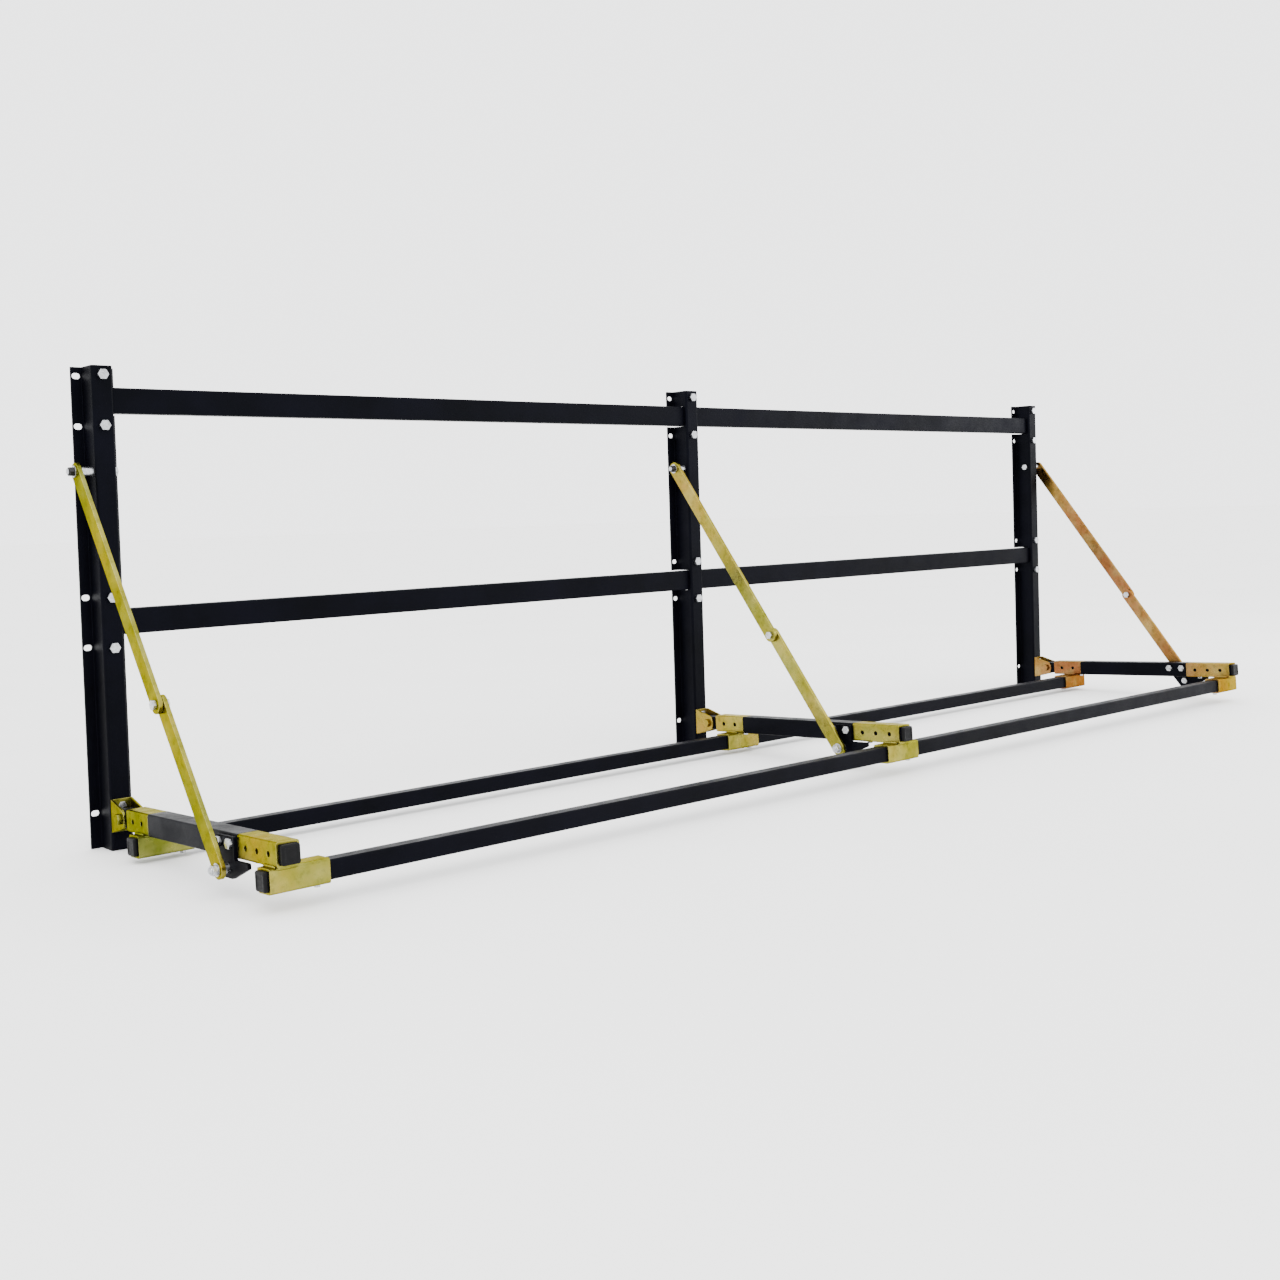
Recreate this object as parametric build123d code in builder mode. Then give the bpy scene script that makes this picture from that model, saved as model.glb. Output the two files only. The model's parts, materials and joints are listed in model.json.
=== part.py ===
"""Fold-up wall rack for ladders and long tools, for the inside of an enclosed trailer.

Three steel posts stand on the wall, joined by two rails.  A shelf of three arms and two long
tubes is hinged at the feet of the posts and hangs from three two-link stays.  Lifting the shelf
buckles the stays and folds everything flat against the posts.

Frame: +X along the rack, +Z up, the wall is the plane Y = 0 and the rack reaches out along -Y.
The origin is the middle post's foot slots, on the wall.  Millimetres.
"""
import os
from math import atan2, cos, degrees, hypot, radians, sin

from build123d import *

os.makedirs("parts", exist_ok=True)

# --- driving dimensions -----------------------------------------------------------------------
INCH = 25.4

post_spacing = 47 * INCH            # centre to centre of neighbouring posts
post_height = 28 * INCH
foot_height = 52.0                  # foot slots and hinge pins above the posts' lower ends
post_width = 2.5 * INCH             # over both wall flanges
web_width = 1.25 * INCH             # front face of the hat section
post_depth = 41.3
post_sheet = 3.2
post_bend = 4.0                     # outside radius of the hat's bends

rail_height = 1.5 * INCH
rail_depth = 0.75 * INCH
rail_wall = 1.65
rail_levels = {"top": 609.0, "middle": 283.0}
tab_width = 22.0                    # plates welded to the rails where they cross the posts
tab_height = 96.0
tab_thickness = 4.8
rail_bolt_offset = 37.0             # rail bolts and wall slots above and below a rail's centre
notch_gap = 0.8                     # play round a rail in the posts' notches

slot_width = 8.8
slot_length = 12.8

arm_tilt = 2.5                      # degrees above level, so that the load stays on the shelf
hinge_out = 75.0                    # hinge pins' distance from the wall
stiffener_size = 1.25 * INCH        # outer tube between an arm's two sleeves
stiffener_gap = 1.0                 # from the stiffener's ends to the sleeves
arm_root = 16.0                     # arm behind its hinge pin
arm_reach = 477.0                   # arm beyond its hinge pin
tube_size = 1.0 * INCH              # arms and long tubes
tube_wall = 2.0
tube_overhang = 1.0 * INCH          # tubes beyond the outer posts' centres
inner_tube_along = 66.0             # tubes' distances from the hinge, along the arm
front_tube_along = 453.0

sleeve_size = 1.25 * INCH
sleeve_wall = 3.05
sleeve_lap = 0.3                    # weld penetration between a connector's two sleeves
lower_sleeve_length = 3.25 * INCH
lower_sleeve_shift = 17.0           # towards the middle, on the end arms
sleeve_spans = {"inner": (24.0, 97.0), "outer": (371.0, 473.0)}
sleeve_hole_pitch = 30.0
sleeve_hole_diameter = 8.0

stay_pivot_out = 28.0               # stays' upper pivots
stay_pivot_height = 505.0
foot_pivot_along = 350.0            # stays' lower pivots, from the hinge along the arm
foot_pivot_drop = 28.0              # and below the arm's centre line
folded_stay_angle = 6.0             # upper links off vertical when the shelf is folded
stay_width = 1.0 * INCH
stay_thickness = 6.35
lower_link_start = 28.7             # inner face of the lower links, from the post's centre plane
link_gap = 0.5                      # between the lower and the upper links

lug_thickness = 4.76
bracket_sheet = 3.2
bracket_gap = 0.4                   # hinge bracket's cheek to the arm's side
bracket_height = 48.0
bracket_nose = 15.0                 # cheek's radius about the pin

cap_flange = 4.8
cap_dome = 1.4                      # bevel round the cap's face
cap_plug = 12.0

running_clearance = 0.06            # radial, pins in the parts that turn on them
bolt_clearance = 0.2                # radial, bolts in fixed parts
screw_clearance = 0.1               # radial, screws and plugs in their holes
link_play = 0.1                     # side play of a stay's link between spacer and washer
bracket_screw_offset = 14.0         # hinge bracket's screws above and below the pin

# --- fasteners: shank radius, width across flats, head height, nut height ---------------------
bolt_3_8 = (4.76, 14.3, 6.0, 8.0)
bolt_5_16 = (3.97, 12.7, 5.3, 6.8)
bolt_1_4 = (3.17, 11.1, 3.8, 5.6)
sleeve_screw = (3.0, 8.0, 4.4, 4.4)
seat_height = 0.6                   # raised round seat under heads and nuts
seat_ratio = 0.48                   # that seat's radius over the width across flats
corner_break = 0.6                  # bevel on heads, nuts and shank ends
edge_break = 0.5                    # bevel on the stays' edges
washer_radius = 8.7
washer_thickness = 1.6
spacer_radius = 7.0

# --- derived ----------------------------------------------------------------------------------
posts = {"left": (-post_spacing, -1), "middle": (0.0, -1), "right": (post_spacing, 1)}
tilt_cos = cos(radians(arm_tilt))
tilt_sin = sin(radians(arm_tilt))
half_web = web_width / 2
half_arm = tube_size / 2
half_stiffener = stiffener_size / 2
half_sleeve = sleeve_size / 2
web_inside = post_depth - post_sheet
rail_front = web_inside - tab_thickness
rail_end = post_spacing + tab_width / 2
tube_drop = sleeve_size - sleeve_lap
half_tube_length = post_spacing + tube_overhang
tube_stations = {"inner": inner_tube_along, "front": front_tube_along}
sleeve_stations = {"inner": inner_tube_along, "outer": front_tube_along}
cheek_inside = half_arm + bracket_gap
cheek_outside = cheek_inside + bracket_sheet
slot_centre = (half_web + post_width / 2) / 2
lug_outside = half_stiffener + lug_thickness
upper_link_start = lower_link_start + stay_thickness + link_gap
upper_link_outside = upper_link_start + stay_thickness
lower_link_outside = lower_link_start + stay_thickness

# Stay triangle, as distances out from the wall and heights above the hinge.
foot_pivot_rest = (hinge_out + foot_pivot_along * tilt_cos + foot_pivot_drop * tilt_sin,
                   foot_pivot_along * tilt_sin - foot_pivot_drop * tilt_cos)
foot_pivot_folded = (hinge_out + foot_pivot_drop, foot_pivot_along)
rest_span = hypot(foot_pivot_rest[0] - stay_pivot_out, stay_pivot_height - foot_pivot_rest[1])
folded_span = hypot(foot_pivot_folded[0] - stay_pivot_out,
                    stay_pivot_height - foot_pivot_folded[1])
rest_angle = degrees(atan2(foot_pivot_rest[0] - stay_pivot_out,
                           stay_pivot_height - foot_pivot_rest[1]))
folded_span_angle = degrees(atan2(foot_pivot_folded[0] - stay_pivot_out,
                                  stay_pivot_height - foot_pivot_folded[1]))
# The links lie in line at rest and close a triangle on folded_span when folded.
fold_cos = cos(radians(folded_span_angle - folded_stay_angle))
upper_link = (rest_span**2 - folded_span**2) / (2 * (rest_span - folded_span * fold_cos))
lower_link = rest_span - upper_link
knuckle = (stay_pivot_out + upper_link * sin(radians(rest_angle)),
           stay_pivot_height - upper_link * cos(radians(rest_angle)))


# --- planes -----------------------------------------------------------------------------------
def side_plane(x):
    """Upright plane across the wall: local x is out from the wall, local y is up."""
    return Plane(origin=(x, 0, 0), x_dir=(0, -1, 0), z_dir=(-1, 0, 0))


def arm_plane(x):
    """Side plane tilted with the arms, from the hinge pin: local x along, local y above."""
    return Plane(origin=(x, -hinge_out, 0), x_dir=(0, -tilt_cos, tilt_sin), z_dir=(-1, 0, 0))


def across_arm(x, along, above=0.0):
    """Plane square to the arm, its normal pointing outwards along the arm."""
    out, up = arm_point(along, above)
    return Plane(origin=(x, -out, up), x_dir=(1, 0, 0), z_dir=(0, -tilt_cos, tilt_sin))


def below_arm(x, along, above):
    """Plane parallel to the arm's underside, its normal pointing down."""
    out, up = arm_point(along, above)
    return Plane(origin=(x, -out, up), x_dir=(1, 0, 0), z_dir=(0, -tilt_sin, -tilt_cos))


def front_plane(x, out, z):
    """Plane parallel to the wall, its normal pointing away from the wall."""
    return Plane(origin=(x, -out, z), x_dir=(1, 0, 0), z_dir=(0, -1, 0))


def facing(x, out, z, side):
    """Plane square to X at a point, its normal along side * X."""
    return Plane(origin=(x, -out, z), x_dir=(0, -side, 0), z_dir=(side, 0, 0))


def arm_point(along, above):
    """Distance out from the wall and height of a point on the tilted arm."""
    return (hinge_out + along * tilt_cos - above * tilt_sin,
            along * tilt_sin + above * tilt_cos)


# --- repeated solids, added to the sub-part being built ---------------------------------------
def add_profile(sketch, amount, taper=0.0, mode=Mode.ADD):
    """Extrude a finished sketch into the sub-part being built."""
    extrude(sketch.sketch, amount=amount, taper=taper, mode=mode)


def add_disc(plane, radius, amount, taper=0.0, mode=Mode.ADD):
    """Round boss or hole of this height on a plane."""
    with BuildSketch(plane) as disc:
        Circle(radius)
    add_profile(disc, amount, taper, mode)


def add_hexagon(plane, across, amount, taper=0.0):
    """Hexagon of this height on a plane."""
    with BuildSketch(plane) as hexagon:
        RegularPolygon(across / 2, 6, major_radius=False)
    add_profile(hexagon, amount, taper)


def add_hex_body(seat, across, height):
    """Round seat, flats and bevelled top of a bolt's head or a nut."""
    add_disc(seat, across * seat_ratio, seat_height)
    add_hexagon(seat.offset(seat_height), across, height - seat_height - corner_break)
    add_hexagon(seat.offset(height - corner_break), across, corner_break, taper=40)


def add_bolt(seat, size, length):
    """Hex bolt: its head stands on the seat plane and its shank goes through it."""
    radius, across, head, _ = size
    add_hex_body(seat, across, head)
    add_disc(seat, radius, -length)
    add_disc(seat.offset(-length), radius, -corner_break, taper=40)


def add_nut(seat, size):
    """Hex nut standing on the seat plane."""
    radius, across, _, height = size
    add_hex_body(seat, across, height)
    add_disc(seat, radius + bolt_clearance, height, mode=Mode.SUBTRACT)


def drill(planes, radius, depth):
    """Round holes of one size, cut both ways from each plane."""
    for plane in planes:
        add_disc(plane, radius, depth, mode=Mode.SUBTRACT)
        add_disc(plane, radius, -depth, mode=Mode.SUBTRACT)


def save(part, name):
    part.label = name
    export_step(part, f"parts/{name}.step")


# --- posts: hat sections with their flanges on the wall ---------------------------------------
def wall_slot_heights():
    """Heights of the slots in the wall flanges."""
    rail_rows = [z + d for z in rail_levels.values() for d in (-rail_bolt_offset, rail_bolt_offset)]
    return sorted([0.0] + rail_rows)


def rail_bolt_points(x):
    """Planes on the front of a post's web where the rails' bolts sit."""
    return [front_plane(x, post_depth, z) for z in wall_slot_heights() if z > 0]


def bracket_screw_planes(x, out):
    """Planes where the hinge bracket's two screws pass a given distance from the wall."""
    return [front_plane(x, out, z) for z in (-bracket_screw_offset, bracket_screw_offset)]


for name, (x, stay_side) in posts.items():
    with BuildPart() as post:
        with BuildSketch(Plane.XY.offset(-foot_height)) as plan:
            with Locations((x, -post_sheet / 2)):
                Rectangle(post_width, post_sheet)
            with Locations((x, -post_depth / 2)):
                Rectangle(web_width, post_depth)
            with Locations((x, -web_inside / 2)):
                Rectangle(web_width - 2 * post_sheet, web_inside, mode=Mode.SUBTRACT)
            fillet(plan.vertices().group_by(Axis.Y)[0], post_bend)
            inside_corners = plan.vertices().filter_by_position(
                Axis.Y, -web_inside - 0.1, -web_inside + 0.1)
            fillet(inside_corners, post_bend - post_sheet)
            wall_corners = plan.vertices().filter_by_position(
                Axis.Y, -post_sheet - 0.1, -post_sheet + 0.1)
            wall_corners = wall_corners.filter_by_position(
                Axis.X, x - half_web - 0.1, x + half_web + 0.1)
            fillet(wall_corners, post_bend - post_sheet)
        extrude(amount=post_height)

        # Notches that let the rails in from behind: both sides of the middle post, and the
        # inner side of the end posts.
        notch_sides = (-1, 1) if name == "middle" else (1 if name == "left" else -1,)
        for z in rail_levels.values():
            for side in notch_sides:
                notch_x = x + side * (web_width / 2 - post_sheet + post_width / 2) / 2
                with BuildSketch(front_plane(notch_x, 0, z)):
                    RectangleRounded(post_width / 2 - web_width / 2 + post_sheet + 1,
                                     rail_height + 2 * notch_gap, notch_gap)
                extrude(amount=rail_front + notch_gap, mode=Mode.SUBTRACT)

        for z in wall_slot_heights():
            with BuildSketch(front_plane(x, 0, z)):
                with Locations((-slot_centre, 0), (slot_centre, 0)):
                    SlotOverall(slot_length, slot_width)
            extrude(amount=post_sheet, mode=Mode.SUBTRACT)
        for seat in rail_bolt_points(x):
            with BuildSketch(seat.offset(-post_sheet)):
                Circle(bolt_3_8[0] + bolt_clearance)
            extrude(amount=post_sheet, mode=Mode.SUBTRACT)
        for seat in bracket_screw_planes(x, post_depth):
            with BuildSketch(seat.offset(-post_sheet)):
                Circle(bolt_1_4[0] + bolt_clearance)
            extrude(amount=post_sheet, mode=Mode.SUBTRACT)
        drill([facing(x, stay_pivot_out, stay_pivot_height, 1)],
              bolt_5_16[0] + bolt_clearance, web_width)
    save(post.part, f"post_{name}")


# --- rails: flat tubes with a plate welded on behind each post's web --------------------------
for name, z in rail_levels.items():
    with BuildPart() as rail:
        middle_out = rail_front - rail_depth / 2
        with BuildSketch(Plane.YZ.offset(-rail_end)) as section:
            with Locations((-middle_out, z)):
                RectangleRounded(rail_depth, rail_height, 2.4)
                RectangleRounded(rail_depth - 2 * rail_wall, rail_height - 2 * rail_wall, 0.8,
                                 mode=Mode.SUBTRACT)
        extrude(amount=2 * rail_end)
        for x, _ in posts.values():
            with BuildSketch(front_plane(x, rail_front, z)):
                RectangleRounded(tab_width, tab_height, 3)
                with Locations((0, -rail_bolt_offset), (0, rail_bolt_offset)):
                    Circle(bolt_3_8[0] + bolt_clearance, mode=Mode.SUBTRACT)
            extrude(amount=tab_thickness)
    save(rail.part, f"rail_{name}")

with BuildPart() as rail_bolts:
    for x, _ in posts.values():
        for seat in rail_bolt_points(x):
            add_bolt(seat, bolt_3_8, post_sheet + tab_thickness + bolt_3_8[3] + 2)
save(rail_bolts.part, "rail_bolts")

with BuildPart() as rail_nuts:
    for x, _ in posts.values():
        for z in wall_slot_heights()[1:]:
            nut_seat = Plane(origin=(x, -rail_front, z), x_dir=(0, 0, 1), z_dir=(0, 1, 0))
            add_nut(nut_seat, bolt_3_8)
save(rail_nuts.part, "rail_nuts")


# --- hinge brackets on the posts' feet, and the pins that the arms turn on --------------------
for name, (x, _) in posts.items():
    with BuildPart() as hinge_bracket:
        back_out = post_depth + bracket_sheet
        nose_out = hinge_out + bracket_nose
        with BuildSketch(Plane.XY.offset(-bracket_height / 2)) as plan:
            with Locations((x, -(post_depth + nose_out) / 2)):
                Rectangle(2 * cheek_outside, nose_out - post_depth)
            with Locations((x, -(back_out + nose_out) / 2)):
                Rectangle(2 * cheek_inside, nose_out - back_out, mode=Mode.SUBTRACT)
            fillet(plan.vertices().group_by(Axis.Y)[-1], bracket_sheet)
        extrude(amount=bracket_height)
        with BuildSketch(side_plane(x + cheek_outside + 1)) as cheek:
            with Locations((hinge_out, 0)):
                Circle(bracket_nose)
            with Locations(((post_depth + back_out) / 2, 0)):
                Rectangle(bracket_sheet, bracket_height)
            make_hull()
        extrude(amount=2 * cheek_outside + 2, mode=Mode.INTERSECT)
        drill([facing(x, hinge_out, 0, 1)], bolt_3_8[0] + running_clearance, web_width)
        drill(bracket_screw_planes(x, back_out), bolt_1_4[0] + bolt_clearance, bracket_sheet + 1)
    save(hinge_bracket.part, f"hinge_bracket_{name}")

with BuildPart() as hinge_bracket_screws:
    for x, _ in posts.values():
        for seat in bracket_screw_planes(x, post_depth + bracket_sheet):
            add_bolt(seat, bolt_1_4, bracket_sheet + post_sheet + bolt_1_4[3] + 1.5)
save(hinge_bracket_screws.part, "hinge_bracket_screws")

with BuildPart() as hinge_bracket_nuts:
    for x, _ in posts.values():
        for z in (-bracket_screw_offset, bracket_screw_offset):
            nut_seat = Plane(origin=(x, -web_inside, z), x_dir=(0, 0, 1), z_dir=(0, 1, 0))
            add_nut(nut_seat, bolt_1_4)
save(hinge_bracket_nuts.part, "hinge_bracket_nuts")

with BuildPart() as hinge_pins:
    for x, _ in posts.values():
        add_bolt(facing(x - cheek_outside, hinge_out, 0, -1), bolt_3_8,
                 2 * cheek_outside + bolt_3_8[3] + 2)
save(hinge_pins.part, "hinge_pins")

with BuildPart() as hinge_pin_nuts:
    for x, _ in posts.values():
        add_nut(facing(x + cheek_outside, hinge_out, 0, 1), bolt_3_8)
save(hinge_pin_nuts.part, "hinge_pin_nuts")


# --- upper stay pivots on the posts -----------------------------------------------------------
def stay_plane(x, side, start, thickness):
    """Side plane from which a stay part of this thickness is extruded inwards along -X."""
    return side_plane(x + (start + thickness if side > 0 else -start))


def top_seat(x, side, start):
    """Plane square to the stay's upper pivot, facing away from the post."""
    return facing(x + side * start, stay_pivot_out, stay_pivot_height, side)


with BuildPart() as stay_top_bolts:
    for x, side in posts.values():
        grip = half_web + upper_link_outside + washer_thickness + bolt_5_16[3] + 2
        add_bolt(top_seat(x, -side, half_web), bolt_5_16, grip)
save(stay_top_bolts.part, "stay_top_bolts")

with BuildPart() as stay_top_spacers:
    for x, side in posts.values():
        with BuildSketch(top_seat(x, side, half_web)):
            Circle(spacer_radius)
            Circle(bolt_5_16[0] + bolt_clearance, mode=Mode.SUBTRACT)
        extrude(amount=upper_link_start - half_web - link_play)
        with BuildSketch(top_seat(x, side, upper_link_outside + link_play)):
            Circle(washer_radius)
            Circle(bolt_5_16[0] + bolt_clearance, mode=Mode.SUBTRACT)
        extrude(amount=washer_thickness)
save(stay_top_spacers.part, "stay_top_spacers")

with BuildPart() as stay_top_nuts:
    for x, side in posts.values():
        add_nut(top_seat(x, side, upper_link_outside + link_play + washer_thickness), bolt_5_16)
save(stay_top_nuts.part, "stay_top_nuts")


# --- stays: two flat links each, lapped at the knuckle ----------------------------------------
def link_blank(plane, first, second):
    """Flat bar with round ends about two pivots, given as points in the plane."""
    run = Vector(*second) - Vector(*first)
    with BuildSketch(plane) as blank:
        with Locations((Vector(*first) + Vector(*second)) / 2):
            SlotCenterToCenter(run.length, stay_width, rotation=degrees(atan2(run.Y, run.X)))
    add_profile(blank, stay_thickness)


def bore(plane, point, radius):
    """Hole through a link at a point of the plane that the link was extruded from."""
    with BuildSketch(plane) as hole:
        with Locations(point):
            Circle(radius)
    add_profile(hole, stay_thickness, mode=Mode.SUBTRACT)


for name, (x, side) in posts.items():
    top_point = (stay_pivot_out, stay_pivot_height)
    with BuildPart() as upper:
        blank = stay_plane(x, side, upper_link_start, stay_thickness)
        link_blank(blank, top_point, knuckle)
        bore(blank, top_point, bolt_5_16[0] + running_clearance)
        bore(blank, knuckle, bolt_5_16[0] + bolt_clearance)
        chamfer(upper.edges().filter_by(Axis.X, reverse=True), edge_break)
    save(upper.part, f"stay_upper_{name}")

    with BuildPart() as lower:
        blank = stay_plane(x, side, lower_link_start, stay_thickness)
        link_blank(blank, knuckle, foot_pivot_rest)
        bore(blank, knuckle, bolt_5_16[0] + bolt_clearance)
        bore(blank, foot_pivot_rest, bolt_5_16[0] + running_clearance)
        chamfer(lower.edges().filter_by(Axis.X, reverse=True), edge_break)
    save(lower.part, f"stay_lower_{name}")

    # The knuckle's bolt is in two halves that meet between the links: the head and its shank
    # stay with the upper link, the nut and its stub with the lower one.
    with BuildPart() as knuckle_bolt:
        add_bolt(facing(x + side * upper_link_outside, *knuckle, side), bolt_5_16,
                 stay_thickness - corner_break)
    save(knuckle_bolt.part, f"knuckle_bolt_{name}")

    with BuildPart() as knuckle_nut:
        add_bolt(facing(x + side * lower_link_start, *knuckle, -side), bolt_5_16,
                 stay_thickness - corner_break)
    save(knuckle_nut.part, f"knuckle_nut_{name}")


# --- arms, their stiffeners, and the lugs that take the stays' lower ends ----------------------
lug_bolt_spots = ((foot_pivot_along - 19.0, 4.0), (foot_pivot_along + 11.0, 4.0))


def arm_facing(x, side, start, along, above):
    """Plane square to X at a point of the arm, its normal along side * X."""
    return facing(x + side * start, *arm_point(along, above), side)


def sleeve_screw_spots():
    """Stations along the arm of the screws that hold the upper sleeves."""
    return {"inner": sleeve_spans["inner"][1] - 9.0, "outer": sleeve_spans["outer"][0] + 24.0}


def square_tube(plane, size, wall, length):
    """Square tube from a plane along its normal, added to the sub-part being built."""
    with BuildSketch(plane) as section:
        RectangleRounded(size, size, 2.6)
        RectangleRounded(size - 2 * wall, size - 2 * wall, 0.6, mode=Mode.SUBTRACT)
    add_profile(section, length)


for name, (x, side) in posts.items():
    with BuildPart() as arm:
        square_tube(across_arm(x, -arm_root), tube_size, tube_wall, arm_root + arm_reach)
        drill([facing(x, hinge_out, 0, 1)], bolt_3_8[0] + running_clearance, tube_size)
        drill([arm_facing(x, side, 0, *spot) for spot in lug_bolt_spots],
              bolt_5_16[0] + bolt_clearance, tube_size)
        for along in sleeve_screw_spots().values():
            with BuildSketch(below_arm(x, along, -half_arm + tube_wall)):
                Circle(sleeve_screw[0] + screw_clearance)
            extrude(amount=tube_wall, mode=Mode.SUBTRACT)
    save(arm.part, f"arm_{name}")

    with BuildPart() as stiffener:
        first = sleeve_spans["inner"][1] + stiffener_gap
        last = sleeve_spans["outer"][0] - stiffener_gap
        square_tube(across_arm(x, first), stiffener_size, sleeve_wall, last - first)
        drill([arm_facing(x, side, 0, *spot) for spot in lug_bolt_spots],
              bolt_5_16[0] + bolt_clearance, stiffener_size)
    save(stiffener.part, f"arm_stiffener_{name}")

    with BuildPart() as lug:
        start = lug_outside if side > 0 else -half_stiffener
        step_height = -half_sleeve - 1
        with BuildSketch(arm_plane(x + start)) as outline:
            with BuildLine():
                Polyline((foot_pivot_along - 31, half_stiffener - 3),
                         (foot_pivot_along + 20, half_stiffener - 3),
                         (foot_pivot_along + 20, step_height),
                         (foot_pivot_along + 56, step_height),
                         (foot_pivot_along + 56, step_height - 7),
                         (foot_pivot_along + 12, -foot_pivot_drop - 13),
                         (foot_pivot_along - 12, -foot_pivot_drop - 13),
                         (foot_pivot_along - 31, -half_stiffener), close=True)
            make_face()
            fillet(outline.vertices(), 2.5)
            with Locations((foot_pivot_along, -foot_pivot_drop), *lug_bolt_spots):
                Circle(bolt_5_16[0] + bolt_clearance, mode=Mode.SUBTRACT)
        extrude(amount=lug_thickness)
    save(lug.part, f"stay_lug_{name}")

with BuildPart() as lug_bolts:
    for x, side in posts.values():
        for spot in lug_bolt_spots:
            add_bolt(arm_facing(x, side, lug_outside, *spot), bolt_5_16,
                     lug_thickness + stiffener_size + bolt_5_16[3] + 2)
save(lug_bolts.part, "lug_bolts")

with BuildPart() as lug_nuts:
    for x, side in posts.values():
        for spot in lug_bolt_spots:
            add_nut(arm_facing(x, -side, half_stiffener, *spot), bolt_5_16)
save(lug_nuts.part, "lug_nuts")

foot_spot = (foot_pivot_along, -foot_pivot_drop)
with BuildPart() as stay_foot_bolts:
    for x, side in posts.values():
        grip = lower_link_outside - half_stiffener + link_play + washer_thickness + bolt_5_16[3] + 2
        head_seat = facing(x + side * half_stiffener, *arm_point(*foot_spot), -side)
        add_bolt(head_seat, bolt_5_16, grip)
save(stay_foot_bolts.part, "stay_foot_bolts")

with BuildPart() as stay_foot_spacers:
    for x, side in posts.values():
        with BuildSketch(arm_facing(x, side, lug_outside, *foot_spot)):
            Circle(spacer_radius)
            Circle(bolt_5_16[0] + bolt_clearance, mode=Mode.SUBTRACT)
        extrude(amount=lower_link_start - lug_outside - link_play)
        with BuildSketch(arm_facing(x, side, lower_link_outside + link_play, *foot_spot)):
            Circle(washer_radius)
            Circle(bolt_5_16[0] + bolt_clearance, mode=Mode.SUBTRACT)
        extrude(amount=washer_thickness)
save(stay_foot_spacers.part, "stay_foot_spacers")

with BuildPart() as stay_foot_nuts:
    for x, side in posts.values():
        start = lower_link_outside + link_play + washer_thickness
        add_nut(arm_facing(x, side, start, *foot_spot), bolt_5_16)
save(stay_foot_nuts.part, "stay_foot_nuts")


# --- long tubes and the crossed sleeves that hold them under the arms -------------------------
def lower_sleeve_x(x):
    """Middle of the lower sleeve under the arm at x."""
    return x * (1 - lower_sleeve_shift / post_spacing)


def tube_screw_x(x):
    """Place along the rack of the screw that holds a long tube in its sleeve."""
    towards_middle = -1 if x > 0 else 1
    return lower_sleeve_x(x) + towards_middle * (lower_sleeve_length / 2 - 11.0)


for name, along in tube_stations.items():
    with BuildPart() as tube:
        with BuildSketch(arm_plane(half_tube_length)):
            with Locations((along, -tube_drop)):
                RectangleRounded(tube_size, tube_size, 2.6)
                RectangleRounded(tube_size - 2 * tube_wall, tube_size - 2 * tube_wall, 0.6,
                                 mode=Mode.SUBTRACT)
        extrude(amount=2 * half_tube_length)
        for x, _ in posts.values():
            screw_plane = below_arm(tube_screw_x(x), along, -tube_drop - tube_size / 2 + tube_wall)
            with BuildSketch(screw_plane):
                Circle(sleeve_screw[0] + screw_clearance)
            extrude(amount=tube_wall, mode=Mode.SUBTRACT)
    save(tube.part, f"tube_{name}")

for place, (first, last) in sleeve_spans.items():
    station = sleeve_stations[place]
    for name, (x, _) in posts.items():
        lower_end = arm_plane(lower_sleeve_x(x) + lower_sleeve_length / 2)
        with BuildPart() as sleeve:
            with BuildSketch(across_arm(x, first)):
                RectangleRounded(sleeve_size, sleeve_size, 3.5)
            extrude(amount=last - first)
            with BuildSketch(lower_end):
                with Locations((station, -tube_drop)):
                    RectangleRounded(sleeve_size, sleeve_size, 3.5)
            extrude(amount=lower_sleeve_length)
            hollow = sleeve_size - 2 * sleeve_wall
            with BuildSketch(across_arm(x, first)):
                Rectangle(hollow, hollow)
            extrude(amount=last - first, mode=Mode.SUBTRACT)
            with BuildSketch(lower_end):
                with Locations((station, -tube_drop)):
                    Rectangle(hollow, hollow)
            extrude(amount=lower_sleeve_length, mode=Mode.SUBTRACT)
            hole_count = int((last - first) // sleeve_hole_pitch)
            first_hole = (first + last - (hole_count - 1) * sleeve_hole_pitch) / 2
            drill([arm_facing(x, 1, 0, first_hole + i * sleeve_hole_pitch, 0)
                   for i in range(hole_count)], sleeve_hole_diameter / 2, sleeve_size)
            drill([below_arm(x, sleeve_screw_spots()[place], -half_sleeve),
                   below_arm(tube_screw_x(x), station, -tube_drop - half_sleeve)],
                  sleeve_screw[0] + screw_clearance, sleeve_wall + 0.5)
        save(sleeve.part, f"crossing_{place}_{name}")

with BuildPart() as sleeve_screws:
    for place, station in sleeve_stations.items():
        for x, _ in posts.values():
            seats = [below_arm(x, sleeve_screw_spots()[place], -half_sleeve),
                     below_arm(tube_screw_x(x), station, -tube_drop - half_sleeve)]
            for seat in seats:
                add_bolt(seat, sleeve_screw, sleeve_wall + tube_wall + 4)
save(sleeve_screws.part, "sleeve_screws")


# --- plastic end caps ---------------------------------------------------------------------------
def add_cap(face_plane):
    """Square cap: a domed flange on a tube's end and a plug inside it."""
    hollow = tube_size - 2 * tube_wall - 2 * screw_clearance
    with BuildSketch(face_plane) as flange:
        RectangleRounded(tube_size, tube_size, 2.6)
    add_profile(flange, cap_flange - cap_dome)
    with BuildSketch(face_plane.offset(cap_flange - cap_dome)) as dome:
        RectangleRounded(tube_size, tube_size, 2.6)
    add_profile(dome, cap_dome, taper=45)
    with BuildSketch(face_plane) as plug:
        RectangleRounded(hollow, hollow, 1.2)
    add_profile(plug, -cap_plug)


with BuildPart() as arm_end_caps:
    for x, _ in posts.values():
        add_cap(across_arm(x, arm_reach))
save(arm_end_caps.part, "arm_end_caps")

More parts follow.
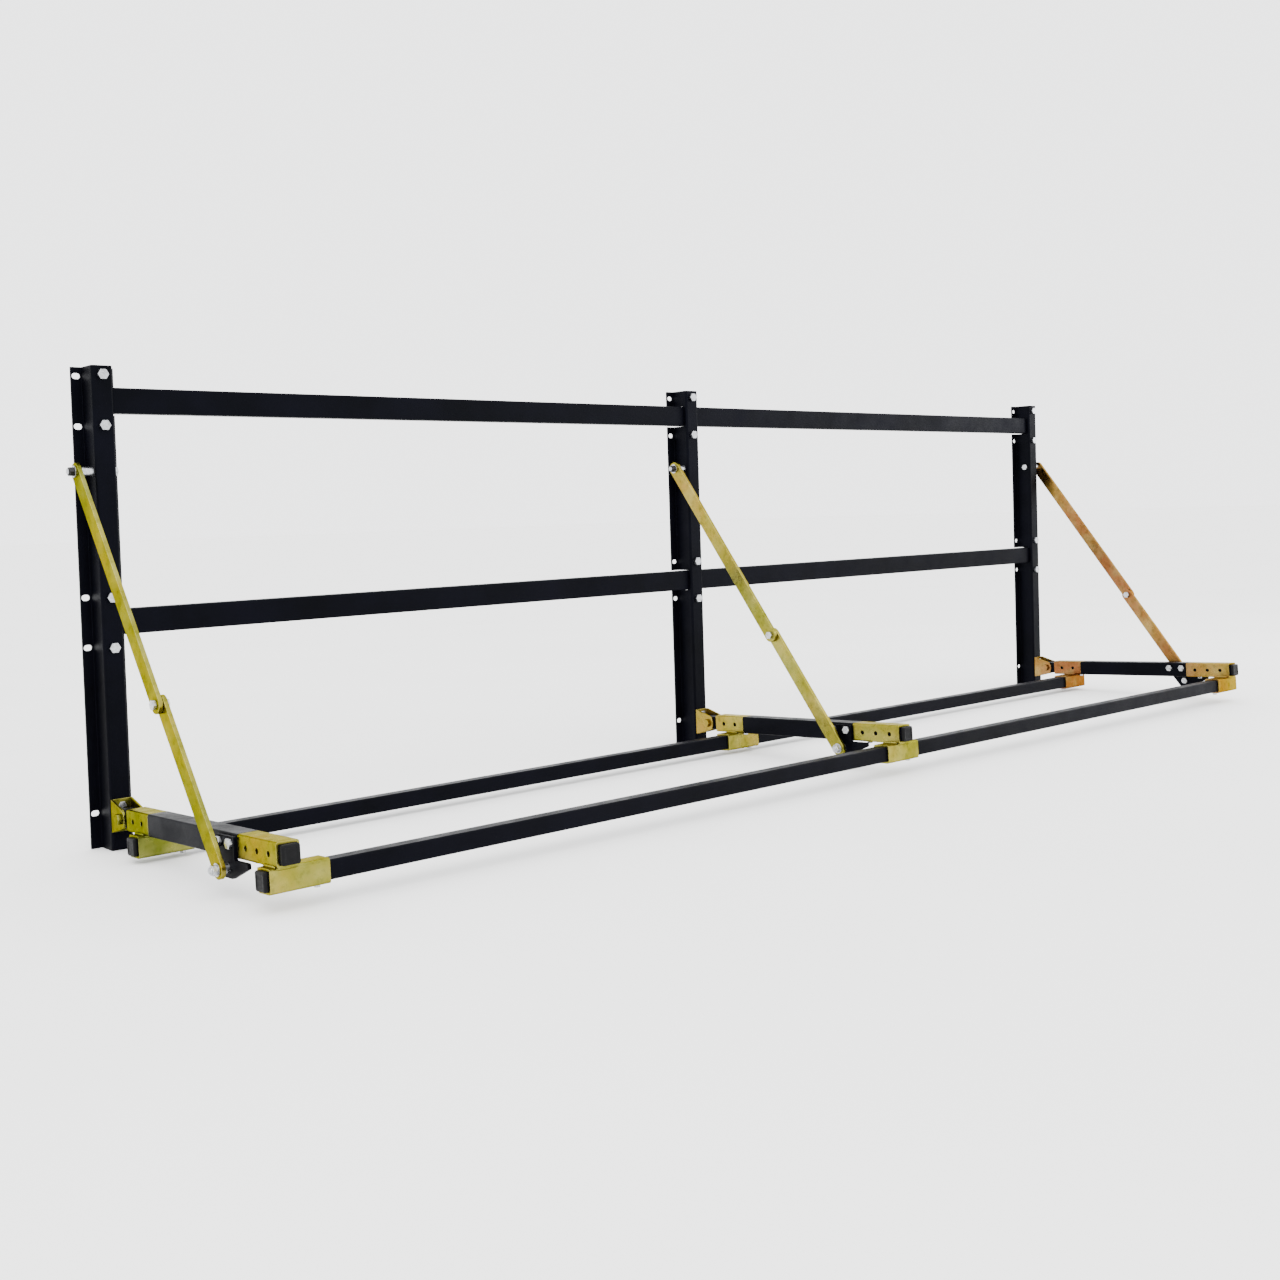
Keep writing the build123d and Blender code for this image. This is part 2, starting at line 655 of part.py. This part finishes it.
for name, along in tube_stations.items():
    with BuildPart() as tube_caps:
        for side in (-1, 1):
            point_out, point_up = arm_point(along, -tube_drop)
            add_cap(Plane(origin=(side * half_tube_length, -point_out, point_up),
                          x_dir=(0, -side * tilt_cos, side * tilt_sin), z_dir=(side, 0, 0)))
    save(tube_caps.part, f"tube_{name}_caps")
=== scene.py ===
"""Looks of the fold-up ladder rack: finishes for its steel, and the small parts too fine for CAD.

Metres, in the frame of the CAD model: +X along the rack, +Z up, the wall is the plane Y = 0 and
the rack stands out along -Y.
"""
import json

from math import cos, pi, radians, sin, tau

import bmesh
import bpy
from mathutils import Matrix, Vector


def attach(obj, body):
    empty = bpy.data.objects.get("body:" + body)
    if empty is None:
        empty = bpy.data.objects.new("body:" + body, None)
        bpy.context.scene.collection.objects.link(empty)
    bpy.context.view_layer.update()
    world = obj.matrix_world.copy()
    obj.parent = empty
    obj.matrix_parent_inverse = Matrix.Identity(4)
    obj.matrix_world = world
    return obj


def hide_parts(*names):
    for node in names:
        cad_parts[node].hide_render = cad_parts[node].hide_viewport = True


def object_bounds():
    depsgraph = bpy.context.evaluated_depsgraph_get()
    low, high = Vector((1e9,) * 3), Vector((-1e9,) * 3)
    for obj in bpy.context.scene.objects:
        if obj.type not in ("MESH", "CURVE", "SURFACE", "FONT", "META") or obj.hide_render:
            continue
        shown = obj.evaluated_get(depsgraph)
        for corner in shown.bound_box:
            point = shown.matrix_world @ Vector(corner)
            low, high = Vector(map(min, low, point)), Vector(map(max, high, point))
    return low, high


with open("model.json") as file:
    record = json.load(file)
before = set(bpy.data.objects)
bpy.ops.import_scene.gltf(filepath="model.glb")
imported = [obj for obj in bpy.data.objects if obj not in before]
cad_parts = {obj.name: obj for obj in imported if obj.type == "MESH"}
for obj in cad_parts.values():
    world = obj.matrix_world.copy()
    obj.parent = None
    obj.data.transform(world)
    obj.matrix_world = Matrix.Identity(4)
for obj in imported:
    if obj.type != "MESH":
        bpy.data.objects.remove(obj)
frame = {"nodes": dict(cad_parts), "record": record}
cad_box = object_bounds()

MM = 0.001

# --- places and sizes of the rack that the fine parts follow -------------------------------------
POST_SPACING = 47 * 25.4 * MM
POSTS = {"left": (-POST_SPACING, -1), "middle": (0.0, -1), "right": (POST_SPACING, 1)}
HINGE_OUT = 75 * MM
ARM_TILT = radians(2.5)
ARM_REACH = 477 * MM
TUBE_SIZE = 25.4 * MM
TUBE_DROP = 31.45 * MM
TUBE_ALONG = {"inner": 66 * MM, "front": 453 * MM}
HALF_TUBE = POST_SPACING + 25.4 * MM
HALF_SLEEVE = 15.875 * MM
RAIL_LEVELS = {"top": 0.609, "middle": 0.283}
RAIL_FRONT = 33.3 * MM
RAIL_HALF_HEIGHT = 19.05 * MM

# Nuts: shank radius, width across flats, height, thread pitch.
NUT_3_8 = (4.76 * MM, 14.3 * MM, 8.0 * MM, 1.59 * MM)
NUT_5_16 = (3.97 * MM, 12.7 * MM, 6.8 * MM, 1.41 * MM)
# Where nuts sit, from their post's or arm's centre plane.
HINGE_NUT = 16.3 * MM
STAY_TOP_NUT = 43.6 * MM
STAY_FOOT_NUT = 36.75 * MM
LUG_NUT = 15.875 * MM
STAY_TOP = (28 * MM, 505 * MM)
STAY_FOOT = (350 * MM, -28 * MM)
LUG_BOLTS = ((331 * MM, 4 * MM), (361 * MM, 4 * MM))


# --- shader nodes --------------------------------------------------------------------------------
class Finish:
    """A procedural material under construction: short calls that add and link its nodes."""

    def __init__(self, name, roughness, metallic=0.0):
        self.material = bpy.data.materials.new(name)
        self.material.use_nodes = True
        self.tree = self.material.node_tree
        self.shader = self.tree.nodes["Principled BSDF"]
        self.shader.inputs["Roughness"].default_value = roughness
        self.shader.inputs["Metallic"].default_value = metallic
        self.place = self.tree.nodes.new("ShaderNodeTexCoord").outputs["Object"]

    def add(self, kind, links=None, **settings):
        node = self.tree.nodes.new(kind)
        for key, value in settings.items():
            setattr(node, key, value)
        for socket, value in (links or {}).items():
            if isinstance(value, bpy.types.NodeSocket):
                self.tree.links.new(value, node.inputs[socket])
            else:
                node.inputs[socket].default_value = value
        return node

    def noise(self, scale, detail=4.0, roughness=0.5, stretch=None):
        place = self.place
        if stretch:
            place = self.add("ShaderNodeMapping", {"Vector": place, "Scale": stretch}).outputs[0]
        return self.add("ShaderNodeTexNoise", {
            "Vector": place, "Scale": scale, "Detail": detail, "Roughness": roughness,
        }).outputs["Fac"]

    def spread(self, value, low, high, start=0.3, end=0.7):
        """Map the middle of a noise's range to low..high."""
        return self.add("ShaderNodeMapRange", {
            "Value": value, "From Min": start, "From Max": end, "To Min": low, "To Max": high,
        }).outputs[0]

    def ramp(self, value, stops):
        node = self.add("ShaderNodeValToRGB", {"Fac": value})
        elements = node.color_ramp.elements
        while len(elements) < len(stops):
            elements.new(0.5)
        for element, (position, color) in zip(elements, stops):
            element.position = position
            element.color = (*color, 1.0)
        return node.outputs["Color"]

    def mix(self, factor, first, second, blend="MIX"):
        node = self.add("ShaderNodeMix", data_type="RGBA", blend_type=blend)
        sockets = [s for s in node.inputs if s.enabled]
        for socket, value in zip(sockets, (factor, first, second)):
            if isinstance(value, bpy.types.NodeSocket):
                self.tree.links.new(value, socket)
            elif isinstance(value, tuple):
                socket.default_value = (*value, 1.0)
            else:
                socket.default_value = value
        return next(s for s in node.outputs if s.enabled)

    def math(self, operation, first, second):
        return self.add("ShaderNodeMath", {0: first, 1: second}, operation=operation).outputs[0]

    def edges(self, radius, start=0.02, end=0.16):
        """Mask of sharp edges: how far a rounded normal leans away from the flat one."""
        rounded = self.add("ShaderNodeBevel", {"Radius": radius}, samples=6).outputs[0]
        flat = self.add("ShaderNodeNewGeometry").outputs["Normal"]
        lean = self.add("ShaderNodeVectorMath", {0: rounded, 1: flat}, operation="DOT_PRODUCT")
        away = self.math("SUBTRACT", 1.0, lean.outputs["Value"])
        return self.spread(away, 0.0, 1.0, start, end)

    def surface(self, color, roughness, height, depth, edge_radius):
        """Link colour and roughness, and a bump of this depth over softly rounded edges."""
        rounded = self.add("ShaderNodeBevel", {"Radius": edge_radius}, samples=6).outputs[0]
        bump = self.add("ShaderNodeBump", {
            "Strength": 1.0, "Distance": depth, "Height": height, "Normal": rounded,
        })
        self.tree.links.new(color, self.shader.inputs["Base Color"])
        self.tree.links.new(roughness, self.shader.inputs["Roughness"])
        self.tree.links.new(bump.outputs[0], self.shader.inputs["Normal"])
        return self.material


def powder_coat():
    """Semi-gloss black powder coat: orange peel, thin dusty film tinted blue as a painted navy
    sheen, and rubbed edges.
    """
    finish = Finish("powder_coat", 0.36)
    finish.shader.inputs["Specular IOR Level"].default_value = 0.038
    finish.shader.inputs["Specular Tint"].default_value = (0.72, 0.78, 1.0, 1.0)
    # Near-black tone that varies at random, tinted blue throughout: the blue is a painted navy
    # sheen, strongest where the noise is high.
    film_and_navy_sheen = finish.noise(9.0, 5.0, 0.6)
    black = finish.ramp(film_and_navy_sheen, [(0.3, (0.0006, 0.0006, 0.0009)), (0.7, (0.0015, 0.0015, 0.0032))])
    specks = finish.noise(420.0, 2.0)
    black = finish.mix(finish.spread(specks, 0.0, 0.3, 0.66, 0.78), black, (0.008, 0.008, 0.010))
    patches = finish.spread(finish.noise(34.0, 5.0, 0.7), 0.0, 1.0, 0.52, 0.66)
    rubbed = finish.math("MULTIPLY", finish.edges(1.1 * MM), patches)
    black = finish.mix(rubbed, black, (0.02, 0.02, 0.021))
    roughness = finish.spread(finish.noise(22.0, 6.0, 0.65), 0.36, 0.56)
    peel = finish.math("ADD", finish.noise(520.0, 2.0), finish.noise(1500.0, 1.0))
    return finish.surface(black, roughness, peel, 0.09 * MM, 0.7 * MM)


def yellow_zinc():
    """Yellow chromate over zinc plate: olive gold that turns copper-pink towards the right end,
    with painted highlights along its edges.
    """
    finish = Finish("yellow_zinc", 0.34, metallic=1.0)
    finish.shader.inputs["Specular Tint"].default_value = (0.56, 0.51, 0.24, 1.0)
    x = finish.add("ShaderNodeSeparateXYZ", {"Vector": finish.place}).outputs["X"]
    left_batch = finish.spread(x, -0.11, 0.0, -1.2, -0.5)
    right_batch = finish.spread(x, 0.0, 0.32, 0.3, 1.1)
    batch = finish.math("ADD", left_batch, right_batch)
    drift = finish.math("ADD", finish.noise(5.0, 3.0, 0.5), batch)
    gold = finish.ramp(drift, [
        (0.30, (0.115, 0.130, 0.016)), (0.46, (0.22, 0.195, 0.026)),
        (0.62, (0.27, 0.18, 0.036)), (0.90, (0.19, 0.072, 0.026)),
    ])
    mottle = finish.noise(95.0, 5.0, 0.65)
    tint = finish.ramp(mottle, [
        (0.34, (0.40, 0.43, 0.26)), (0.5, (0.84, 0.86, 0.74)), (0.66, (1.0, 0.88, 0.92)),
    ])
    gold = finish.mix(0.65, gold, tint, "MULTIPLY")
    bloom = finish.spread(finish.noise(22.0, 3.0, 0.5), 0.0, 0.22, 0.44, 0.70)
    gold = finish.mix(bloom, gold, (0.46, 0.42, 0.16))
    # Painted highlight: paler gold laid along sharp edges, where they would catch the light, varied
    # by the mottle.
    rim = finish.math("MULTIPLY", finish.edges(0.8 * MM), finish.spread(mottle, 0.1, 0.7))
    gold = finish.mix(rim, gold, (0.60, 0.54, 0.20))
    roughness = finish.spread(finish.noise(60.0, 6.0, 0.7), 0.18, 0.44)
    lines = finish.noise(160.0, 5.0, 0.6, stretch=(1.0, 4.0, 4.0))
    return finish.surface(gold, roughness, lines, 0.05 * MM, 0.6 * MM)


def bright_zinc():
    """Clear zinc plate on fasteners: pale blue-grey metal with small crystal patches."""
    finish = Finish("bright_zinc", 0.3, metallic=1.0)
    crystals = finish.add("ShaderNodeTexVoronoi", {"Vector": finish.place, "Scale": 420.0})
    cell = finish.add("ShaderNodeSeparateColor", {"Color": crystals.outputs["Color"]}).outputs[0]
    grey = finish.ramp(cell, [(0.0, (0.34, 0.35, 0.37)), (1.0, (0.50, 0.51, 0.53))])
    tarnish = finish.spread(finish.noise(130.0, 5.0, 0.7), 0.0, 0.6, 0.5, 0.72)
    grey = finish.mix(tarnish, grey, (0.22, 0.22, 0.21))
    roughness = finish.spread(finish.noise(240.0, 4.0), 0.2, 0.4)
    return finish.surface(grey, roughness, finish.noise(700.0, 3.0), 0.03 * MM, 0.35 * MM)


def black_oxide():
    """Oiled black oxide on the lock nuts."""
    finish = Finish("black_oxide", 0.38, metallic=0.6)
    dark = finish.ramp(finish.noise(260.0, 5.0, 0.6), [
        (0.3, (0.006, 0.006, 0.007)), (0.7, (0.022, 0.021, 0.022)),
    ])
    roughness = finish.spread(finish.noise(180.0), 0.3, 0.5)
    return finish.surface(dark, roughness, finish.noise(900.0, 2.0), 0.03 * MM, 0.35 * MM)


def cap_plastic():
    """Moulded black polyethylene with a fine spark-eroded grain."""
    finish = Finish("cap_plastic", 0.5)
    finish.shader.inputs["Specular IOR Level"].default_value = 0.08
    dark = finish.ramp(finish.noise(70.0, 4.0), [
        (0.3, (0.002, 0.002, 0.0023)), (0.7, (0.005, 0.005, 0.0055)),
    ])
    scuffs = finish.noise(260.0, 5.0, 0.7, stretch=(1.0, 0.2, 1.0))
    dark = finish.mix(finish.spread(scuffs, 0.0, 0.4, 0.62, 0.75), dark, (0.016, 0.016, 0.017))
    roughness = finish.spread(finish.noise(300.0), 0.4, 0.62)
    return finish.surface(dark, roughness, finish.noise(1900.0, 2.0), 0.06 * MM, 0.5 * MM)


def nylon():
    """Cream nylon of the lock nuts' rings."""
    finish = Finish("nylon", 0.4)
    cream = finish.ramp(finish.noise(300.0), [(0.3, (0.30, 0.28, 0.23)), (0.7, (0.38, 0.36, 0.30))])
    return finish.surface(cream, finish.spread(finish.noise(500.0), 0.3, 0.5),
                          finish.noise(900.0), 0.02 * MM, 0.2 * MM)


MATERIALS = {
    "powder_coat": powder_coat(),
    "yellow_zinc": yellow_zinc(),
    "bright_zinc": bright_zinc(),
    "black_nut": black_oxide(),
    "cap_plastic": cap_plastic(),
    "nylon": nylon(),
}

for part in frame["record"]["subparts"]:
    for material_slot in frame["nodes"][part["node"]].material_slots:
        material_slot.material = MATERIALS[part["material_slot"]]


# --- frames of reference -------------------------------------------------------------------------
def arm_matrix(x, along, above):
    """Frame at a point of a tilted arm: Y runs outwards along the arm, Z stands on the arm."""
    outward = Vector((0, -cos(ARM_TILT), sin(ARM_TILT)))
    upward = Vector((0, sin(ARM_TILT), cos(ARM_TILT)))
    origin = Vector((x, -HINGE_OUT, 0)) + outward * along + upward * above
    turn = Matrix((Vector((-1, 0, 0)), outward, upward)).transposed().to_4x4()
    return Matrix.Translation(origin) @ turn


def facing_matrix(point, normal):
    """Frame whose Z is the normal, at a point."""
    turn = Vector(normal).to_track_quat("Z", "Y").to_matrix().to_4x4()
    return Matrix.Translation(Vector(point)) @ turn


# --- meshes --------------------------------------------------------------------------------------
def loft(bm, rings, closed_ends=True, looped=False):
    """Skin a list of rings of points with quads."""
    rows = [[bm.verts.new(point) for point in ring] for ring in rings]
    count = len(rows[0])
    pairs = list(zip(rows, rows[1:]))
    if looped:
        pairs.append((rows[-1], rows[0]))
    for low, high in pairs:
        for i in range(count):
            j = (i + 1) % count
            bm.faces.new((low[i], low[j], high[j], high[i]))
    if closed_ends and not looped:
        bm.faces.new(rows[0][::-1])
        bm.faces.new(rows[-1])


def lathe(bm, matrix, profile, sides=40):
    """Turn a closed profile of (radius, height) pairs about the frame's Z."""
    turns = [(cos(tau * i / sides), sin(tau * i / sides)) for i in range(sides)]
    rings = [[matrix @ Vector((radius * c, radius * s, height)) for c, s in turns]
             for radius, height in profile]
    loft(bm, rings, looped=True)


def rounded_square(size, corner, per_corner=6):
    """Outline of a rounded square as (x, y) points."""
    points = []
    inner = size / 2 - corner
    for quarter in range(4):
        middle = pi / 4 + quarter * pi / 2
        cx = inner * (1 if cos(middle) > 0 else -1)
        cy = inner * (1 if sin(middle) > 0 else -1)
        for i in range(per_corner + 1):
            angle = quarter * pi / 2 + i * pi / 2 / per_corner
            points.append((cx + corner * cos(angle), cy + corner * sin(angle)))
    return points


def finished(bm, name, material, body, smooth=True, replaces=()):
    """Turn the bmesh into a piece that rides on a body."""
    bmesh.ops.recalc_face_normals(bm, faces=bm.faces)
    mesh = bpy.data.meshes.new(name)
    bm.to_mesh(mesh)
    bm.free()
    for polygon in mesh.polygons:
        polygon.use_smooth = smooth
    piece = bpy.data.objects.new(name, mesh)
    bpy.context.collection.objects.link(piece)
    mesh.materials.append(MATERIALS[material])
    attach(piece, body)
    if replaces:
        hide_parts(*replaces)
    return piece


# --- end caps ------------------------------------------------------------------------------------
# Each ring: how far it is drawn in from the tube's outside, and its height above the tube's end,
# in millimetres.
CAP_RINGS = (
    (0.10, 0.0), (0.0, 0.35), (0.0, 3.0), (0.25, 3.7), (0.9, 4.3), (2.0, 4.65), (3.4, 4.75),
    (4.2, 4.7), (4.6, 4.35), (5.0, 4.15), (7.0, 4.1),
)
PLUG_RINGS = ((2.7, -12.0), (2.2, -10.5), (2.2, -0.2))
PLUG_CORNER = 1.2 * MM
CAP_CORNER, CAP_CORNER_LEAST, CAP_CORNER_SHRINK = 2.8, 1.2, 0.25


def add_cap(bm, matrix):
    """Square plastic cap with a soft rim and a shallow dished face, and its plug in the tube."""
    rings = []
    for inset, height in PLUG_RINGS:
        outline = rounded_square(TUBE_SIZE - 2 * inset * MM, PLUG_CORNER)
        rings.append([matrix @ Vector((x, y, height * MM)) for x, y in outline])
    for inset, height in CAP_RINGS:
        corner = max(CAP_CORNER - CAP_CORNER_SHRINK * inset, CAP_CORNER_LEAST) * MM
        outline = rounded_square(TUBE_SIZE - 2 * inset * MM, corner)
        rings.append([matrix @ Vector((x, y, height * MM)) for x, y in outline])
    loft(bm, rings)


arm_caps = bmesh.new()
for x, _ in POSTS.values():
    end = arm_matrix(x, ARM_REACH, 0) @ Matrix.Rotation(radians(-90), 4, "X")
    add_cap(arm_caps, end)
finished(arm_caps, "arm_caps", "cap_plastic", "shelf", replaces=["arm_end_caps"])

for name, along in TUBE_ALONG.items():
    tube_caps = bmesh.new()
    for side in (-1, 1):
        turn = Matrix.Rotation(radians(-90 * side), 4, "Y")
        end = arm_matrix(side * HALF_TUBE, along, -TUBE_DROP) @ turn
        add_cap(tube_caps, end)
    finished(tube_caps, f"{name}_tube_caps", "cap_plastic", "shelf", replaces=[f"tube_{name}_caps"])


# --- weld beads ----------------------------------------------------------------------------------
BEAD_RADIUS = 2.4 * MM
RAIL_BEAD_RADIUS = 2.1 * MM
RAIL_BEAD_HALF_LENGTH = 9.5 * MM
RAIL_BEAD_SINK = 0.6 * MM
RAIL_BEAD_INSET = 0.4 * MM
RIPPLE_PITCH = 2.3 * MM
RIPPLE_HEIGHT = 0.28 * MM
STEPS_PER_RIPPLE = 6


def add_bead(bm, start, end, radius=BEAD_RADIUS, sides=12):
    """Rippled weld bead laid along a straight joint, thinning at both ends."""
    start, end = Vector(start), Vector(end)
    run = end - start
    axes = run.to_track_quat("Z", "Y").to_matrix()
    steps = max(8, int(run.length / (RIPPLE_PITCH / STEPS_PER_RIPPLE)))
    rings = []
    for i in range(steps + 1):
        t = i / steps
        phase = (t * run.length / RIPPLE_PITCH) % 1.0
        swell = radius - RIPPLE_HEIGHT * (1 - abs(2 * phase - 1)) ** 2
        ease = min(1.0, 0.35 + 4.5 * min(t, 1 - t))
        wander = 0.15 * MM * sin(17 * t + 5 * start.x)
        centre = start + run * t + axes @ Vector((wander, 0, 0))
        reach = swell * ease
        rings.append([
            centre + axes @ Vector((reach * cos(tau * k / sides), reach * sin(tau * k / sides), 0))
            for k in range(sides)
        ])
    loft(bm, rings)


for place, along in (("inner", TUBE_ALONG["inner"]), ("outer", TUBE_ALONG["front"])):
    for name, (x, _) in POSTS.items():
        beads = bmesh.new()
        seat = arm_matrix(x, along, -HALF_SLEEVE)
        for side in (-1, 1):
            inside, outside = HALF_SLEEVE - 1 * MM, HALF_SLEEVE + 0.2 * MM
            across = [seat @ Vector((s * inside, side * outside, -1 * MM)) for s in (-1, 1)]
            lengthwise = [seat @ Vector((side * outside, s * inside, 1 * MM)) for s in (-1, 1)]
            add_bead(beads, *across)
            add_bead(beads, *lengthwise)
        finished(beads, f"weld_{place}_{name}", "yellow_zinc", "shelf")

for name, z in RAIL_LEVELS.items():
    beads = bmesh.new()
    for x, _ in POSTS.values():
        for side in (-1, 1):
            height = z + side * (RAIL_HALF_HEIGHT - RAIL_BEAD_INSET)
            ends = [(x + s * RAIL_BEAD_HALF_LENGTH, -RAIL_FRONT + RAIL_BEAD_SINK, height)
                    for s in (-1, 1)]
            add_bead(beads, *ends, radius=RAIL_BEAD_RADIUS)
    finished(beads, f"weld_rail_{name}", "powder_coat", "frame")


# --- lock nuts' collars and rings, and threads ---------------------------------------------------
def add_collar(bm, matrix, size):
    """Crimped collar that stands on a lock nut's outer face."""
    radius, across, nut, _ = size
    rim = across * 0.42
    lathe(bm, matrix, [
        (rim - 1.6 * MM, nut - 0.2 * MM), (rim, nut - 0.2 * MM), (rim, nut + 0.5 * MM),
        (rim - 0.3 * MM, nut + 1.1 * MM), (rim - 0.9 * MM, nut + 1.4 * MM),
        (rim - 1.3 * MM, nut + 1.3 * MM), (rim - 1.5 * MM, nut + 0.9 * MM),
    ])


def add_nylon_ring(bm, matrix, size):
    """Ring inside the collar that grips the thread."""
    radius, across, nut, _ = size
    rim = across * 0.42 - 1.4 * MM
    lathe(bm, matrix, [
        (radius + 0.1 * MM, nut - 0.4 * MM), (rim, nut - 0.4 * MM), (rim, nut + 0.7 * MM),
        (rim - 0.3 * MM, nut + 0.95 * MM), (radius + 0.3 * MM, nut + 0.9 * MM),
        (radius + 0.1 * MM, nut + 0.6 * MM),
    ])


def add_thread(bm, matrix, size, length=2.0 * MM, sides=28):
    """Helical ridge round the end of a shank, from the nut's outer face over a length."""
    radius, _, nut, pitch = size
    steps = int(sides * length / pitch)
    rings = []
    for i in range(steps + 1):
        angle = tau * i / sides
        height = nut + length * i / steps
        fade = min(1.0, 4 * i / sides, 4 * (steps - i) / sides)
        crest = radius + 0.26 * MM * fade
        foot = radius - 0.1 * MM
        ring = []
        for reach, shift in ((foot, -0.42), (crest, -0.07), (crest, 0.07), (foot, 0.42)):
            ring.append(matrix @ Vector((reach * cos(angle), reach * sin(angle),
                                         height + shift * pitch)))
        rings.append(ring)
    loft(bm, rings)


def nut_seats():
    """Nuts of each kind: their size, body and finish, and the frames they stand on."""
    hinge, stay_top, lug, stay_foot = [], [], [], []
    for x, side in POSTS.values():
        hinge.append(facing_matrix((x + HINGE_NUT, -HINGE_OUT, 0), (1, 0, 0)))
        top_out, top_height = STAY_TOP
        stay_top.append(facing_matrix((x + side * STAY_TOP_NUT, -top_out, top_height),
                                      (side, 0, 0)))
        for spot in LUG_BOLTS:
            point = arm_matrix(x - side * LUG_NUT, *spot).translation
            lug.append(facing_matrix(point, (-side, 0, 0)))
        point = arm_matrix(x + side * STAY_FOOT_NUT, *STAY_FOOT).translation
        stay_foot.append(facing_matrix(point, (side, 0, 0)))
    return {
        "hinge": (NUT_3_8, "frame", "bright_zinc", hinge),
        "stay_top": (NUT_5_16, "frame", "black_nut", stay_top),
        "lug": (NUT_5_16, "shelf", "bright_zinc", lug),
        "stay_foot": (NUT_5_16, "shelf", "bright_zinc", stay_foot),
    }


for name, (size, body, material, seats) in nut_seats().items():
    collars, rings, threads = bmesh.new(), bmesh.new(), bmesh.new()
    for seat in seats:
        add_collar(collars, seat, size)
        add_nylon_ring(rings, seat, size)
        add_thread(threads, seat, size)
    finished(collars, f"collars_{name}", material, body)
    finished(rings, f"nylon_{name}", "nylon", body)
    finished(threads, f"threads_{name}", "bright_zinc", body)


# --- camera, floor and light ---------------------------------------------------------------------
CAMERA_PLACE = (-2.037, -2.138, 0.418)
CAMERA_YAW, CAMERA_PITCH, CAMERA_ROLL = radians(40.74), radians(-2.08), radians(-1.81)
CAMERA_LENS, SENSOR_WIDTH = 41.1, 36.0
CAMERA_SHIFT = (0.0241, -0.0563)

FLOOR_HALF = 60
FLOOR_GAP = 0.5 * MM
SURROUND_COLOR = (0.97, 0.975, 0.98, 1)
SURROUND_BACK, SURROUND_FRONT = 3.3, 2.0
FRONT_DIRECTION = (-0.66, -0.75, 0.0)


def camera():
    """Camera at the place and with the lens that the rack was seen with."""
    data = bpy.data.cameras.new("camera")
    data.lens = CAMERA_LENS
    data.sensor_width = SENSOR_WIDTH
    data.shift_x, data.shift_y = CAMERA_SHIFT
    data.clip_start = 0.01
    data.clip_end = 100.0
    view = bpy.data.objects.new("camera", data)
    bpy.context.collection.objects.link(view)
    forward = Vector((sin(CAMERA_YAW) * cos(CAMERA_PITCH), cos(CAMERA_YAW) * cos(CAMERA_PITCH),
                      sin(CAMERA_PITCH)))
    level = Vector((cos(CAMERA_YAW), -sin(CAMERA_YAW), 0))
    upright = level.cross(forward)
    right = level * cos(CAMERA_ROLL) + upright * sin(CAMERA_ROLL)
    up = upright * cos(CAMERA_ROLL) - level * sin(CAMERA_ROLL)
    turn = Matrix((right, up, -forward)).transposed().to_4x4()
    view.matrix_world = Matrix.Translation(CAMERA_PLACE) @ turn
    bpy.context.scene.camera = view


def area_light(name, place, target, size, power):
    """Soft rectangular light at a place, aimed at a target."""
    data = bpy.data.lights.new(name, "AREA")
    data.shape = "RECTANGLE"
    data.size, data.size_y = size
    data.energy = power
    light = bpy.data.objects.new(name, data)
    bpy.context.collection.objects.link(light)
    light.location = place
    aim = Vector(target) - Vector(place)
    light.rotation_euler = aim.to_track_quat("-Z", "Y").to_euler()


def floor():
    """Wide white floor just under the rack's lowest point."""
    finish = Finish("floor", 0.7)
    finish.shader.inputs["Specular IOR Level"].default_value = 0.2
    pale = finish.ramp(finish.noise(2.0), [
        (0.3, (0.88, 0.88, 0.875)), (0.7, (0.90, 0.90, 0.895)),
    ])
    finish.surface(pale, finish.spread(finish.noise(30.0), 0.6, 0.75),
                   finish.noise(200.0), 0.02 * MM, 0.1 * MM)
    bm = bmesh.new()
    level = cad_box[0][2] - FLOOR_GAP
    bm.faces.new([bm.verts.new((x * FLOOR_HALF, y * FLOOR_HALF, level))
                  for x, y in ((-1, -1), (1, -1), (1, 1), (-1, 1))])
    mesh = bpy.data.meshes.new("floor")
    bm.to_mesh(mesh)
    bm.free()
    mesh.materials.append(finish.material)
    piece = bpy.data.objects.new("floor", mesh)
    bpy.context.collection.objects.link(piece)


def surround():
    """White world, dimmer towards the front so that steel faces turned there stay dark."""
    world = bpy.data.worlds.new("studio")
    world.use_nodes = True
    nodes, links = world.node_tree.nodes, world.node_tree.links
    background = nodes["Background"]
    background.inputs["Color"].default_value = SURROUND_COLOR
    towards_front = nodes.new("ShaderNodeVectorMath")
    towards_front.operation = "DOT_PRODUCT"
    towards_front.inputs[1].default_value = FRONT_DIRECTION
    links.new(nodes.new("ShaderNodeTexCoord").outputs["Generated"], towards_front.inputs[0])
    falloff = nodes.new("ShaderNodeMapRange")
    falloff.inputs["From Min"].default_value = 0.1
    falloff.inputs["From Max"].default_value = 0.9
    falloff.inputs["To Min"].default_value = SURROUND_BACK
    falloff.inputs["To Max"].default_value = SURROUND_FRONT
    links.new(towards_front.outputs["Value"], falloff.inputs["Value"])
    links.new(falloff.outputs[0], background.inputs["Strength"])
    bpy.context.scene.world = world


def lights():
    """Broad light from overhead, and a soft light at either side of the camera."""
    data = bpy.data.lights.new("overhead_sun", "SUN")
    data.energy = 2.0
    data.angle = radians(50)
    sun = bpy.data.objects.new("overhead_sun", data)
    bpy.context.collection.objects.link(sun)
    sun.rotation_euler = (radians(28), radians(-14), 0)
    area_light("key", (-2.8, -3.0, 2.2), (0, -0.2, 0.2), (1.4, 1.4), 45)
    area_light("side", (3.2, -1.6, 1.4), (0.4, -0.2, 0.2), (1.0, 1.6), 40)


camera()
floor()
surround()
lights()
